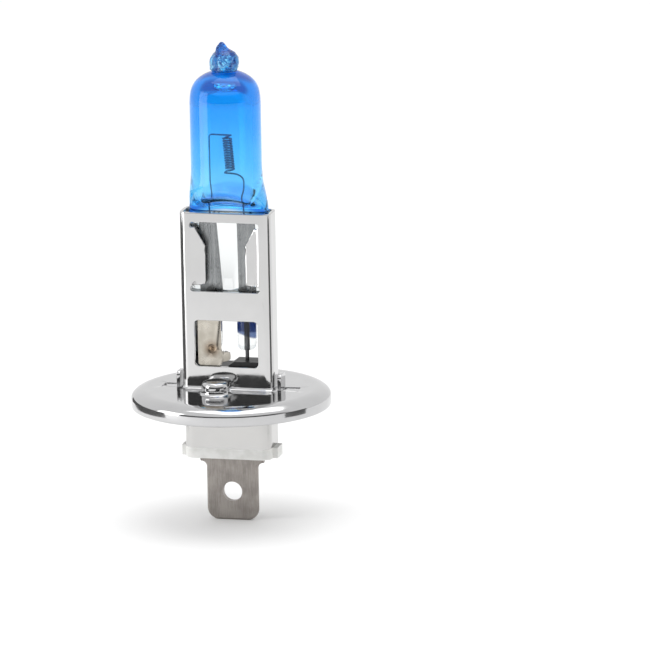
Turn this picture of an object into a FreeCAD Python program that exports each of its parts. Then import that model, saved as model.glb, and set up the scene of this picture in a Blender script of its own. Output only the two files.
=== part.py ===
"""Single-filament halogen headlight bulb with a blue quartz envelope.

A flattened quartz pinch is clamped in a rectangular sheet-metal sleeve, which stands on a round
polished flange. Under the flange a metal box holds the insulators and one flat blade terminal.

Frame: millimetres, +Z along the bulb axis towards the glass tip, +X along the wide side of the
pinch, the sleeve and the blade. The front, with the lanced boss, faces -Y. The origin is on the
axis, in the plane of the flange's glass-side face.
"""

import FreeCAD, Part
import math
import os

import Sketcher

SIZES = {
    # flange
    "flange_radius": 12.0,
    "flange_sheet": 0.5,
    "flange_skirt": 2.2,
    "flange_rounding": 1.0,
    "collar_rise": 0.4,
    "collar_wall": 0.4,
    "ear_width": 2.2,
    "ear_rise": 1.9,
    "ear_sheet": 0.45,
    "ear_rounding": 0.44,
    "boss_radius": 1.75,
    "boss_rise": 1.65,
    "boss_hollow_radius": 1.2,
    "boss_hollow_head": 0.85,
    "boss_across": -0.9,
    "boss_forward": 3.7,
    "boss_shoulder": 0.03,
    "boss_slit_width": 1.7,
    "boss_slit_rise": 0.72,
    "boss_slit_height": 0.36,
    # sleeve
    "sleeve_width": 11.2,
    "sleeve_depth": 3.8,
    "sleeve_rise": 21.6,
    "sleeve_sheet": 0.4,
    "sleeve_corner": 0.95,
    "window_width": 7.8,
    "upper_window_foot": 12.0,
    "upper_window_head": 20.45,
    "lower_window_foot": 2.84,
    "lower_window_head": 8.46,
    "lower_window_corner": 0.5,
    "slot_radius": 0.35,
    "flap_root": 0.05,
    "flap_trim": 0.1,
    "flap_foot": 12.75,
    "flap_shoulder": 17.6,
    "flap_head": 20.0,
    "flap_reach": 1.45,
    "flap_press": 0.43,
    # quartz envelope
    "tube_radius": 4.25,
    "tube_top_radius": 4.22,
    "quartz_wall": 1.0,
    "tube_foot": 24.6,
    "dome_edge": 37.75,
    "dome_rounding": 2.75,
    "crease_radius": 1.42,
    "crease_rise": 38.1,
    "bead_radius": 1.74,
    "bead_rise": 38.7,
    "bead_head": 40.95,
    "bead_rounding": 0.78,
    "nub_root": 40.45,
    "nub_head": 42.1,
    "nub_radius": 0.62,
    "nub_tip_radius": 0.19,
    "nub_across": -0.2,
    "cavity_foot": 24.1,
    "cavity_foot_bevel": 1.4,
    "cavity_shoulder": 34.3,
    "cavity_shoulder_step": 1.8,
    "cavity_head": 36.7,
    "pinch_width": 9.9,
    "pinch_depth": 2.1,
    "pinch_head": 21.8,
    "pinch_foot": 8.5,
    "leg_radius": 1.15,
    "leg_foot": 4.7,
    "leg_root": 10.5,
    # conductors
    "lead_spacing": 4.2,
    "inner_wire": 0.1,
    "outer_wire": 0.225,
    "foil_thickness": 0.06,
    "foil_foot": 9.6,
    "foil_head": 20.2,
    "foil_outer": 3.4,
    "ground_foil_inner_foot": 0.45,
    "ground_foil_inner_head": 1.27,
    "hot_foil_inner_foot": 1.35,
    "hot_foil_inner_head": 1.2,
    "seal_gap": 0.02,
    "coil_radius": 0.5,
    "coil_wire": 0.095,
    "coil_pitch": 0.3,
    "coil_length": 3.9,
    "coil_tilt": 4.3,
    "coil_across": 0.3,
    "coil_middle": 28.55,
    "long_lead_bend": 30.65,
    "long_lead_head": 30.95,
    "long_lead_head_across": -1.8,
    "long_lead_end": 30.85,
    "long_lead_end_across": 0.7,
    "short_lead_bend": 25.25,
    "short_lead_elbow": 25.8,
    "short_lead_elbow_across": 1.75,
    "short_lead_head": 26.13,
    "short_lead_head_across": 1.1,
    "short_lead_end": 26.22,
    "short_lead_end_across": -0.25,
    # ground plate
    "plate_left": -3.6,
    "plate_right": -0.75,
    "plate_foot": 2.85,
    "plate_head": 11.0,
    "plate_sheet": 0.28,
    "plate_corner": 0.336,
    "plate_front": 1.47,
    "plate_lobe_radius": 0.68,
    "plate_lobe_across": -0.4,
    "plate_lobe_rise": 4.0,
    "weld_across": -1.9,
    "weld_rise": 4.95,
    "weld_radius": 0.42,
    "weld_depth": 0.112,
    # insulators and base
    "block_width": 9.8,
    "block_depth": 2.7,
    "block_low_head": 2.8,
    "block_high_head": 3.4,
    "block_foot": -3.6,
    "block_bevel": 1.1,
    "block_step": -0.05,
    "block_step_run": 0.8,
    "block_gap": 0.05,
    "ground_wire_foot": 3.1,
    "shell_width": 10.6,
    "shell_depth": 5.2,
    "shell_foot": -7.0,
    "shell_sheet": 0.4,
    "shell_corner": 1.2,
    "plug_width": 9.6,
    "plug_depth": 4.2,
    "cap_foot": -8.3,
    "cap_ear_width": 11.8,
    "cap_ear_depth": 2.4,
    # blade terminal
    "blade_width": 6.3,
    "blade_thickness": 0.8,
    "blade_foot": -16.3,
    "blade_hole_radius": 1.2,
    "blade_hole_rise": -12.8,
    "blade_corner": 1.4,
    "blade_bevel": 0.22,
    "shoulder_width": 7.8,
    "shoulder_foot": -9.2,
    "neck_rounding": 0.7,
    "tang_width": 5.0,
    "tang_head": -5.2,
    "tang_gap": 0.02,
}

# Two lengths closer than this, in mm, are one place; a cut that removes less, in mm3, is a fault.
SAME_PLACE = 1e-3
LEAST_VOLUME = 1e-6
FULL_TURN = 360
# The numbers that a sketch gives to the points of one line, arc or circle.
START, END, CENTRE = 1, 2, 3

os.makedirs("parts", exist_ok=True)
doc = FreeCAD.newDocument("headlight_bulb")
sheet = doc.addObject("Spreadsheet::Sheet", "Sizes")
for row, (name, value) in enumerate(SIZES.items(), start=1):
    sheet.set(f"A{row}", name)
    sheet.set(f"B{row}", str(value))
    sheet.setAlias(f"B{row}", name)
doc.recompute()

sub_parts = []


# ---------------------------------------------------------------- sketch and feature helpers


def new_body(label):
    """A body whose label names the sub-part's file."""
    body = doc.addObject("PartDesign::Body", label)
    body.Label = label
    sub_parts.append(body)
    return body


def value_of(owner, expression):
    """The number that an expression on the sheet stands for, in millimetres or degrees."""
    result = owner.evalExpression(expression)
    return float(getattr(result, "Value", result))


def sheet_names(expression):
    """Puts the sheet's name before each of its aliases in an expression."""
    words = expression.replace("(", " ( ").replace(")", " ) ").split()
    return " ".join(f"Sizes.{word}" if word in SIZES else word for word in words)


def new_sketch(body, name, role, offset=None):
    """A sketch on one of the body's own origin planes, or parallel to it."""
    sketch = body.newObject("Sketcher::SketchObject", name)
    plane = next(item for item in body.Origin.OriginFeatures if item.Role == role)
    sketch.AttachmentSupport = [(plane, "")]
    sketch.MapMode = "FlatFace"
    if offset is not None:
        sketch.setExpression(".AttachmentOffset.Base.z", sheet_names(offset))
    return sketch


def fix_point(sketch, geometry, vertex, place):
    """Dimensions one vertex from the sketch's origin."""
    for kind, expression in zip(("DistanceX", "DistanceY"), place):
        bound = sheet_names(expression)
        constraint = Sketcher.Constraint(kind, -1, 1, geometry, vertex, value_of(sketch, bound))
        index = sketch.addConstraint(constraint)
        sketch.setExpression(f"Constraints[{index}]", bound)


def add_outline(sketch, places, closed=True):
    """Straight lines through places, each a pair of expressions on the sheet."""
    points = []
    for place in places:
        across, along = (value_of(sketch, sheet_names(item)) for item in place)
        points.append(FreeCAD.Vector(across, along, 0))
    count = len(points) if closed else len(points) - 1
    first = sketch.GeometryCount
    for index in range(count):
        sketch.addGeometry(Part.LineSegment(points[index], points[(index + 1) % len(points)]))
    for index in range(count - (0 if closed else 1)):
        following = first + (index + 1) % count
        ends = (first + index, END, following, START)
        sketch.addConstraint(Sketcher.Constraint("Coincident", *ends))
    for index in range(count):
        fix_point(sketch, first + index, START, places[index])
    if not closed:
        fix_point(sketch, first + count - 1, END, places[-1])


def add_rectangle(sketch, left, right, low, high):
    add_outline(sketch, [(left, low), (right, low), (right, high), (left, high)])


def add_centred_rectangle(sketch, width, depth):
    half_width, half_depth = f"{width} / 2", f"{depth} / 2"
    add_rectangle(sketch, f"-1 * {half_width}", half_width, f"-1 * {half_depth}", half_depth)


def add_circle(sketch, place, radius):
    """A circle whose centre and radius follow the sheet."""
    across, along = (value_of(sketch, sheet_names(item)) for item in place)
    bound = sheet_names(radius)
    reach = value_of(sketch, bound)
    centre = FreeCAD.Vector(across, along, 0)
    index = sketch.addGeometry(Part.Circle(centre, FreeCAD.Vector(0, 0, 1), reach))
    fix_point(sketch, index, CENTRE, place)
    constraint = sketch.addConstraint(Sketcher.Constraint("Radius", index, reach))
    sketch.setExpression(f"Constraints[{constraint}]", bound)


def pad(body, sketch, length, both_ways=False):
    """Adds the sketch's area, drawn out along its normal."""
    feature = body.newObject("PartDesign::Pad", sketch.Name + "_pad")
    feature.Profile = sketch
    feature.Midplane = both_ways
    feature.setExpression("Length", sheet_names(length))
    doc.recompute()
    return feature


def pocket(body, sketch, length=None, reverse=False):
    """Removes the sketch's area, both ways through everything unless a length is given."""
    before = body.Shape.Volume
    feature = body.newObject("PartDesign::Pocket", sketch.Name + "_pocket")
    feature.Profile = sketch
    if length is None:
        feature.Type = "ThroughAll"
        feature.Midplane = True
    else:
        feature.Type = "Length"
        feature.setExpression("Length", sheet_names(length))
        feature.Reversed = reverse
    doc.recompute()
    if feature.Shape.isNull() or feature.Shape.Volume > before - LEAST_VOLUME:
        raise RuntimeError(f"{feature.Name} removes nothing")
    return feature


def turn(body, kind, sketch):
    """A Revolution or Groove of the sketch, a full turn about its vertical axis."""
    before = body.Shape.Volume if body.Shape and not body.Shape.isNull() else 0.0
    feature = body.newObject(f"PartDesign::{kind}", f"{sketch.Name}_{kind.lower()}")
    feature.Profile = sketch
    feature.ReferenceAxis = (sketch, ["V_Axis"])
    feature.Angle = FULL_TURN
    doc.recompute()
    change = feature.Shape.Volume - before
    gain = -change if kind == "Groove" else change
    if gain < LEAST_VOLUME:
        raise RuntimeError(f"{feature.Name} changes nothing")
    return feature


def fillet(body, radius, chosen, kind="Fillet"):
    """Rounds, or bevels, the edges of the body that chosen(edge) accepts."""
    base = body.Tip
    edges = [f"Edge{i}" for i, edge in enumerate(base.Shape.Edges, start=1) if chosen(edge)]
    if not edges:
        raise RuntimeError(f"{body.Label} has no edge to round")
    feature = body.newObject(f"PartDesign::{kind}", f"{body.Name}_{kind.lower()}_{len(body.Group)}")
    feature.Base = (base, edges)
    feature.setExpression("Radius" if kind == "Fillet" else "Size", sheet_names(radius))
    doc.recompute()
    return feature


def runs_along(edge, axis):
    """True if the edge is straight and parallel to an axis, given as x, y or z."""
    if edge.Curve.TypeId != "Part::GeomLine":
        return False
    return near(abs(getattr(edge.Curve.Direction, axis)), 1)


def near(value, target):
    return abs(value - target) < SAME_PLACE


def size(name):
    return sheet.get(name)


# ---------------------------------------------------------------- quartz envelope


def make_quartz_bulb():
    """Tube, dome, tip-off bead and point, flattened pinch and exit legs, in one piece."""
    body = new_body("quartz_bulb")

    outer = new_sketch(body, "quartz_outline", "XZ_Plane")
    add_outline(
        outer,
        [
            ("0", "tube_foot"),
            ("tube_radius", "tube_foot"),
            ("tube_top_radius", "dome_edge"),
            ("crease_radius", "crease_rise"),
            ("bead_radius", "bead_rise"),
            ("bead_radius", "bead_head"),
            ("0", "bead_head"),
        ],
    )
    turn(body, "Revolution", outer)
    dome_radius, bead_radius = size("tube_top_radius"), size("bead_radius")

    def is_dome_edge(edge):
        return edge.Curve.TypeId == "Part::GeomCircle" and near(edge.Curve.Radius, dome_radius)

    def is_bead_edge(edge):
        return edge.Curve.TypeId == "Part::GeomCircle" and near(edge.Curve.Radius, bead_radius)

    fillet(body, "dome_rounding", is_dome_edge)
    fillet(body, "bead_rounding", is_bead_edge)

    nub = new_sketch(body, "nub_foot", "XY_Plane", "nub_root")
    add_circle(nub, ("nub_across", "0"), "nub_radius")
    nub_tip = new_sketch(body, "nub_tip", "XY_Plane", "nub_head")
    add_circle(nub_tip, ("nub_across", "0"), "nub_tip_radius")
    loft(body, "nub", nub, nub_tip)

    flare_head = new_sketch(body, "flare_head", "XY_Plane", "tube_foot")
    add_circle(flare_head, ("0", "0"), "tube_radius")
    flare_foot = new_sketch(body, "flare_foot", "XY_Plane", "pinch_head")
    add_stadium(flare_foot, "pinch_width", "pinch_depth")
    loft(body, "flare", flare_head, flare_foot)

    pinch = new_sketch(body, "pinch", "XY_Plane", "pinch_foot")
    add_stadium(pinch, "pinch_width", "pinch_depth")
    pad(body, pinch, "pinch_head - pinch_foot")

    legs = new_sketch(body, "exit_legs", "XY_Plane", "leg_foot")
    for side in ("-1", "1"):
        add_circle(legs, (f"{side} * lead_spacing / 2", "0"), "leg_radius")
    pad(body, legs, "leg_root - leg_foot")

    cavity = new_sketch(body, "cavity", "XZ_Plane")
    add_outline(
        cavity,
        [
            ("0", "cavity_foot"),
            ("tube_radius - quartz_wall - cavity_foot_bevel", "cavity_foot"),
            ("tube_radius - quartz_wall", "cavity_foot + cavity_foot_bevel"),
            ("tube_top_radius - quartz_wall", "cavity_shoulder"),
            ("tube_top_radius - quartz_wall - cavity_shoulder_step", "cavity_head"),
            ("0", "cavity_head"),
        ],
    )
    turn(body, "Groove", cavity)

    channels = new_sketch(body, "inner_channels", "XY_Plane", "cavity_foot + quartz_wall / 2")
    for side in ("-1", "1"):
        add_circle(channels, (f"{side} * lead_spacing / 2", "0"), "inner_wire + seal_gap")
    pocket(body, channels, "cavity_foot + quartz_wall / 2 - foil_head")

    for name, side in (("ground", "-1"), ("hot", "1")):
        slot = new_sketch(body, f"{name}_foil_slot", "XZ_Plane")
        add_outline(slot, foil_outline(name, side, "seal_gap"))
        cut = pocket(body, slot, "foil_thickness + seal_gap * 2")
        cut.Midplane = True
        doc.recompute()

    exits = new_sketch(body, "outer_channels", "XY_Plane", "leg_foot")
    for side in ("-1", "1"):
        add_circle(exits, (f"{side} * lead_spacing / 2", "0"), "outer_wire + seal_gap")
    pocket(body, exits, "foil_foot - leg_foot", reverse=True)


def add_stadium(sketch, width, depth):
    """Two straight sides joined by half circles."""
    reach, half = f"( {width} - {depth} ) / 2", f"{depth} / 2"
    straight = value_of(sketch, sheet_names(reach))
    radius = value_of(sketch, sheet_names(half))
    up = FreeCAD.Vector(0, 0, 1)
    right = Part.Circle(FreeCAD.Vector(straight, 0, 0), up, radius)
    left = Part.Circle(FreeCAD.Vector(-straight, 0, 0), up, radius)
    corner = FreeCAD.Vector(straight, radius, 0)
    far = FreeCAD.Vector(-straight, radius, 0)
    drop = FreeCAD.Vector(0, -2 * radius, 0)
    quarter = math.pi / 2
    right_end = sketch.addGeometry(Part.ArcOfCircle(right, -quarter, quarter))
    far_side = sketch.addGeometry(Part.LineSegment(corner, far))
    left_end = sketch.addGeometry(Part.ArcOfCircle(left, quarter, math.pi + quarter))
    near_side = sketch.addGeometry(Part.LineSegment(far + drop, corner + drop))
    ring = [right_end, far_side, left_end, near_side]
    for line, following in zip(ring, ring[1:] + ring[:1]):
        sketch.addConstraint(Sketcher.Constraint("Tangent", line, END, following, START))
    fix_point(sketch, right_end, CENTRE, (reach, "0"))
    fix_point(sketch, left_end, CENTRE, (f"-1 * {reach}", "0"))
    index = sketch.addConstraint(Sketcher.Constraint("Radius", right_end, radius))
    sketch.setExpression(f"Constraints[{index}]", sheet_names(half))


def loft(body, name, profile, section):
    feature = body.newObject("PartDesign::AdditiveLoft", name)
    feature.Profile = profile
    feature.Sections = [section]
    feature.Ruled = True
    doc.recompute()
    return feature


# ---------------------------------------------------------------- conductors


def foil_outline(name, side, margin):
    """A seal foil seen from the front: the ground foil widens towards its foot."""
    outer = f"{side} * ( foil_outer + {margin} )"
    return [
        (f"{side} * ( {name}_foil_inner_foot - {margin} )", f"foil_foot - {margin}"),
        (outer, f"foil_foot - {margin}"),
        (outer, f"foil_head + {margin}"),
        (f"{side} * ( {name}_foil_inner_head - {margin} )", f"foil_head + {margin}"),
    ]


def make_foil(name, side):
    """A thin molybdenum foil sealed in one side of the pinch."""
    body = new_body(f"foil_{name}")
    sketch = new_sketch(body, f"foil_{name}_outline", "XZ_Plane")
    add_outline(sketch, foil_outline(name, side, "0"))
    pad(body, sketch, "foil_thickness", both_ways=True)


def make_wire(label, radius, places):
    """A round wire along straight runs in the XZ plane, with round corners."""
    body = new_body(label)
    path = new_sketch(body, label + "_path", "XZ_Plane")
    add_outline(path, places, closed=False)
    section = new_sketch(body, label + "_section", "XY_Plane", places[0][1])
    add_circle(section, (places[0][0], "0"), radius)
    pipe = body.newObject("PartDesign::AdditivePipe", label + "_pipe")
    pipe.Profile = section
    pipe.Spine = (path, [f"Edge{i + 1}" for i in range(len(places) - 1)])
    pipe.Transition = "Round corner"
    doc.recompute()


def make_coil():
    """Closely wound tungsten coil, slightly tilted from the bulb axis."""
    body = new_body("filament_coil")
    wire = new_sketch(body, "coil_wire_section", "XZ_Plane")
    add_circle(wire, ("coil_radius", "-1 * coil_length / 2"), "coil_wire")
    helix = body.newObject("PartDesign::AdditiveHelix", "coil_turns")
    helix.Profile = wire
    helix.ReferenceAxis = (wire, ["V_Axis"])
    helix.Mode = 0
    helix.setExpression("Pitch", sheet_names("coil_pitch"))
    helix.setExpression("Height", sheet_names("coil_length"))
    body.setExpression(".Placement.Base.x", sheet_names("coil_across"))
    body.setExpression(".Placement.Base.z", sheet_names("coil_middle"))
    body.Placement.Rotation = FreeCAD.Rotation(FreeCAD.Vector(0, 1, 0), -size("coil_tilt"))
    doc.recompute()


# ---------------------------------------------------------------- sleeve and ground plate


def make_sleeve():
    """Rectangular sheet-metal tube with two windows in each wide wall and four bent-in flaps."""
    body = new_body("holder_sleeve")
    wall = new_sketch(body, "sleeve_outside", "XY_Plane", "-1 * flange_sheet")
    add_centred_rectangle(wall, "sleeve_width", "sleeve_depth")
    pad(body, wall, "sleeve_rise + flange_sheet")
    fillet(body, "sleeve_corner", lambda edge: runs_along(edge, "z"))

    inside_width = "( sleeve_width - 2 * sleeve_sheet )"
    inside_depth = "( sleeve_depth - 2 * sleeve_sheet )"
    hollow = new_sketch(body, "sleeve_inside", "XY_Plane")
    add_centred_rectangle(hollow, inside_width, inside_depth)
    pocket(body, hollow)
    inside_y = size("sleeve_depth") / 2 - size("sleeve_sheet")

    def is_inner_corner(edge):
        return runs_along(edge, "z") and near(abs(edge.Vertexes[0].Y), inside_y)

    fillet(body, "sleeve_corner - sleeve_sheet", is_inner_corner)

    left, right = "-1 * window_width / 2", "window_width / 2"
    lower = new_sketch(body, "lower_windows", "XZ_Plane")
    add_rectangle(lower, left, right, "lower_window_foot", "lower_window_head")
    pocket(body, lower)
    window_edge = size("window_width") / 2

    def is_window_corner(edge):
        return runs_along(edge, "y") and near(abs(edge.Vertexes[0].X), window_edge)

    fillet(body, "lower_window_corner", is_window_corner)

    upper = new_sketch(body, "upper_windows", "XZ_Plane")
    add_rectangle(upper, left, right, "upper_window_foot", "upper_window_head")
    pocket(body, upper)
    slot_foot, slot_head = "upper_window_foot + slot_radius", "upper_window_head - slot_radius"
    for name, rise in (("foot", slot_foot), ("head", slot_head)):
        ends = new_sketch(body, f"slot_ends_{name}", "XZ_Plane")
        for side in ("-1", "1"):
            add_circle(ends, (f"{side} * window_width / 2", rise), "slot_radius")
        pocket(body, ends)

    flaps = new_sketch(body, "flaps", "XY_Plane", "flap_foot")
    outer_face, inner_face = "sleeve_depth / 2", "sleeve_depth / 2 - sleeve_sheet"
    root, edge = "window_width / 2 + flap_root", "window_width / 2 - flap_reach"
    for across in ("-1", "1"):
        for along in ("-1", "1"):
            places = [
                (f"{across} * ( {root} )", f"{along} * ( {outer_face} )"),
                (f"{across} * ( {root} )", f"{along} * ( {inner_face} )"),
                (f"{across} * ( {edge} )", f"{along} * ( {inner_face} - flap_press )"),
                (f"{across} * ( {edge} )", f"{along} * ( {outer_face} - flap_press )"),
            ]
            add_outline(flaps, places)
    pad(body, flaps, "flap_head - flap_foot")

    slants = new_sketch(body, "flap_slants", "XZ_Plane")
    for across in ("-1", "1"):
        hinge = f"{across} * ( window_width / 2 - flap_root )"
        edge = f"{across} * ( window_width / 2 - flap_reach - flap_trim )"
        places = [
            (hinge, "flap_head"),
            (edge, "flap_shoulder - flap_trim"),
            (edge, "flap_head + flap_trim"),
            (hinge, "flap_head + flap_trim"),
        ]
        add_outline(slants, places)
    pocket(body, slants)


def make_ground_plate():
    """Flat plate fixed to the inside of the sleeve, with a weld dimple and a curled foot."""
    body = new_body("ground_weld_plate")
    outline = new_sketch(body, "plate_outline", "XZ_Plane", "plate_front - plate_sheet")
    add_rectangle(outline, "plate_left", "plate_right", "plate_foot", "plate_head")
    pad(body, outline, "plate_sheet")
    fillet(body, "plate_corner", lambda edge: runs_along(edge, "y"))

    lobe = new_sketch(body, "plate_lobe", "XZ_Plane", "plate_front - plate_sheet")
    add_circle(lobe, ("plate_lobe_across", "plate_lobe_rise"), "plate_lobe_radius")
    pad(body, lobe, "plate_sheet")

    dimple = new_sketch(body, "weld_dimple", "XZ_Plane", "plate_front")
    add_circle(dimple, ("weld_across", "weld_rise"), "weld_radius")
    pocket(body, dimple, "weld_depth")


# ---------------------------------------------------------------- flange


def make_flange():
    """Pressed disc with a rolled rim, a slot for the sleeve, and lanced collar, ears and boss."""
    body = new_body("flange_disc")
    profile = new_sketch(body, "flange_profile", "XZ_Plane")
    add_outline(
        profile,
        [
            ("0", "0"),
            ("0", "-1 * flange_sheet"),
            ("flange_radius - flange_sheet", "-1 * flange_sheet"),
            ("flange_radius - flange_sheet", "-1 * flange_skirt"),
            ("flange_radius", "-1 * flange_skirt"),
            ("flange_radius", "0"),
        ],
    )
    turn(body, "Revolution", profile)
    outer, inner = size("flange_radius"), size("flange_radius") - size("flange_sheet")

    def is_circle(edge, radius, height):
        round_edge = edge.Curve.TypeId == "Part::GeomCircle" and near(edge.Curve.Radius, radius)
        return round_edge and near(edge.Curve.Center.z, height)

    fillet(body, "flange_rounding", lambda edge: is_circle(edge, outer, 0))
    under = -size("flange_sheet")
    fillet(body, "flange_rounding / 2", lambda edge: is_circle(edge, inner, under))

    collar = new_sketch(body, "collar", "XY_Plane", "-1 * flange_sheet / 2")
    collar_width = "( sleeve_width + 2 * collar_wall )"
    collar_depth = "( sleeve_depth + 2 * collar_wall )"
    add_centred_rectangle(collar, collar_width, collar_depth)
    pad(body, collar, "collar_rise + flange_sheet / 2")
    collar_edge = size("sleeve_width") / 2 + size("collar_wall")

    def is_collar_corner(edge):
        return runs_along(edge, "z") and near(abs(edge.Vertexes[0].X), collar_edge)

    fillet(body, "sleeve_corner + collar_wall / 2", is_collar_corner)

    ears = new_sketch(body, "ears", "XY_Plane", "-1 * flange_sheet / 2")
    for side in ("-1", "1"):
        near_face = f"{side} * ( sleeve_width / 2 + collar_wall )"
        far_face = f"{side} * ( sleeve_width / 2 + collar_wall + ear_sheet )"
        add_rectangle(ears, near_face, far_face, "-1 * ear_width / 2", "ear_width / 2")
    pad(body, ears, "ear_rise + flange_sheet / 2")
    ear_top = size("ear_rise")

    def is_ear_corner(edge):
        return runs_along(edge, "x") and near(edge.Vertexes[0].Z, ear_top)

    fillet(body, "ear_rounding", is_ear_corner)

    slots = new_sketch(body, "ear_slots", "XY_Plane")
    for side in ("-1", "1"):
        start = f"{side} * ( sleeve_width / 2 + collar_wall + ear_sheet + seal_gap )"
        end = f"{side} * ( sleeve_width / 2 + collar_wall + ear_sheet + ear_rise )"
        add_rectangle(slots, start, end, "-1 * ear_width / 2", "ear_width / 2")
    pocket(body, slots)

    boss = new_sketch(body, "boss", "XY_Plane")
    add_circle(boss, ("boss_across", "-1 * boss_forward"), "boss_radius")
    pad(body, boss, "boss_rise")
    boss_top = size("boss_rise")
    dome = "boss_rise - collar_rise - boss_shoulder"
    fillet(body, dome, lambda edge: is_circle(edge, size("boss_radius"), boss_top))
    under_boss = new_sketch(body, "boss_hollow", "XY_Plane", "-1 * flange_sheet")
    place = ("boss_across", "-1 * boss_forward")
    add_circle(under_boss, place, "boss_hollow_radius")
    pocket(body, under_boss, "flange_sheet + boss_hollow_head", reverse=True)
    slit = new_sketch(body, "boss_slit", "XZ_Plane", "boss_forward")
    half_width, half_height = "boss_slit_width / 2", "boss_slit_height / 2"
    add_rectangle(
        slit,
        f"boss_across - {half_width}",
        f"boss_across + {half_width}",
        f"boss_slit_rise - {half_height}",
        f"boss_slit_rise + {half_height}",
    )
    pocket(body, slit, "boss_radius * 2", reverse=True)

    opening = new_sketch(body, "sleeve_slot", "XY_Plane")
    add_centred_rectangle(opening, "sleeve_width", "sleeve_depth")
    pocket(body, opening)
    slot_edge = size("sleeve_width") / 2

    def is_slot_corner(edge):
        return runs_along(edge, "z") and near(abs(edge.Vertexes[0].X), slot_edge)

    fillet(body, "sleeve_corner", is_slot_corner)


# ---------------------------------------------------------------- base


def make_inner_insulator():
    """Black block in the foot of the sleeve, higher on the hot side, bored for the hot lead."""
    body = new_body("inner_insulator")
    outline = new_sketch(body, "block_outline", "XZ_Plane")
    add_outline(
        outline,
        [
            ("-1 * block_width / 2", "block_foot"),
            ("block_width / 2", "block_foot"),
            ("block_width / 2", "block_low_head"),
            ("block_width / 2 - block_bevel", "block_high_head"),
            ("block_step + block_step_run", "block_high_head"),
            ("block_step", "block_low_head"),
            ("-1 * block_width / 2", "block_low_head"),
        ],
    )
    pad(body, outline, "block_depth", both_ways=True)
    bore = new_sketch(body, "lead_bore", "XY_Plane")
    add_circle(bore, ("lead_spacing / 2", "0"), "outer_wire + seal_gap")
    pocket(body, bore)


def make_base_shell():
    """Drawn metal box under the flange, open below, with an opening for the black block above."""
    body = new_body("base_shell")
    outside = new_sketch(body, "shell_outside", "XY_Plane", "shell_foot")
    add_centred_rectangle(outside, "shell_width", "shell_depth")
    pad(body, outside, "-1 * shell_foot - flange_sheet")
    fillet(body, "shell_corner", lambda edge: runs_along(edge, "z"))

    inside = new_sketch(body, "shell_inside", "XY_Plane", "shell_foot")
    inside_width = "( shell_width - 2 * shell_sheet )"
    inside_depth = "( shell_depth - 2 * shell_sheet )"
    add_centred_rectangle(inside, inside_width, inside_depth)
    pocket(body, inside, "-1 * shell_foot - flange_sheet - shell_sheet", reverse=True)
    inner_face = size("shell_depth") / 2 - size("shell_sheet")

    def is_inner_corner(edge):
        return runs_along(edge, "z") and near(abs(edge.Vertexes[0].Y), inner_face)

    fillet(body, "shell_corner - shell_sheet", is_inner_corner)
    opening = new_sketch(body, "shell_opening", "XY_Plane", "shell_foot")
    clear_width, clear_depth = "( block_width + 2 * block_gap )", "( block_depth + 2 * block_gap )"
    add_centred_rectangle(opening, clear_width, clear_depth)
    pocket(body, opening)


def make_ceramic():
    """White insulator: a plug inside the box and a cap below it with an ear at each end."""
    body = new_body("ceramic_insulator")
    plug = new_sketch(body, "plug", "XY_Plane", "shell_foot")
    add_centred_rectangle(plug, "plug_width", "plug_depth")
    pad(body, plug, "block_foot - shell_foot")
    fillet(body, "shell_corner - shell_sheet", lambda edge: runs_along(edge, "z"))

    cap = new_sketch(body, "cap", "XY_Plane", "cap_foot")
    add_centred_rectangle(cap, "shell_width", "shell_depth")
    pad(body, cap, "shell_foot - cap_foot")
    cap_edge = size("shell_width") / 2

    def is_cap_corner(edge):
        return runs_along(edge, "z") and near(abs(edge.Vertexes[0].X), cap_edge)

    fillet(body, "shell_corner", is_cap_corner)
    ears = new_sketch(body, "cap_ears", "XY_Plane", "cap_foot")
    add_centred_rectangle(ears, "cap_ear_width", "cap_ear_depth")
    pad(body, ears, "shell_foot - cap_foot")

    slot = new_sketch(body, "tang_slot", "XY_Plane", "shell_foot")
    slot_width, slot_depth = "( tang_width + 2 * tang_gap )", "( blade_thickness + 2 * tang_gap )"
    add_centred_rectangle(slot, slot_width, slot_depth)
    pocket(body, slot)


def make_blade():
    """Flat blade terminal: tang in the insulator, wide shoulders, and a bevelled tip with a hole."""
    body = new_body("terminal_blade")
    outline = new_sketch(body, "blade_outline", "XZ_Plane")
    right_side = [
        ("blade_width / 2", "blade_foot"),
        ("blade_width / 2", "shoulder_foot"),
        ("shoulder_width / 2", "shoulder_foot"),
        ("shoulder_width / 2", "cap_foot"),
        ("tang_width / 2", "cap_foot"),
        ("tang_width / 2", "tang_head"),
    ]
    left_side = [(f"-1 * {across}", along) for across, along in reversed(right_side)]
    add_outline(outline, right_side + left_side)
    pad(body, outline, "blade_thickness", both_ways=True)
    tip, neck = size("blade_foot"), size("shoulder_foot")
    half_width = size("blade_width") / 2

    def is_corner(edge, height):
        if not runs_along(edge, "y"):
            return False
        corner = edge.Vertexes[0]
        return near(corner.Z, height) and near(abs(corner.X), half_width)

    fillet(body, "blade_corner", lambda edge: is_corner(edge, tip))
    fillet(body, "neck_rounding", lambda edge: is_corner(edge, neck))

    hole = new_sketch(body, "blade_hole", "XZ_Plane")
    add_circle(hole, ("0", "blade_hole_rise"), "blade_hole_radius")
    pocket(body, hole)
    rounded = size("blade_foot") + size("blade_corner") + SAME_PLACE

    def is_tip_edge(edge):
        flat = near(edge.BoundBox.YLength, 0)
        return flat and edge.BoundBox.ZMax < rounded

    fillet(body, "blade_bevel", is_tip_edge, kind="Chamfer")


# ---------------------------------------------------------------- assembly

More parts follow.
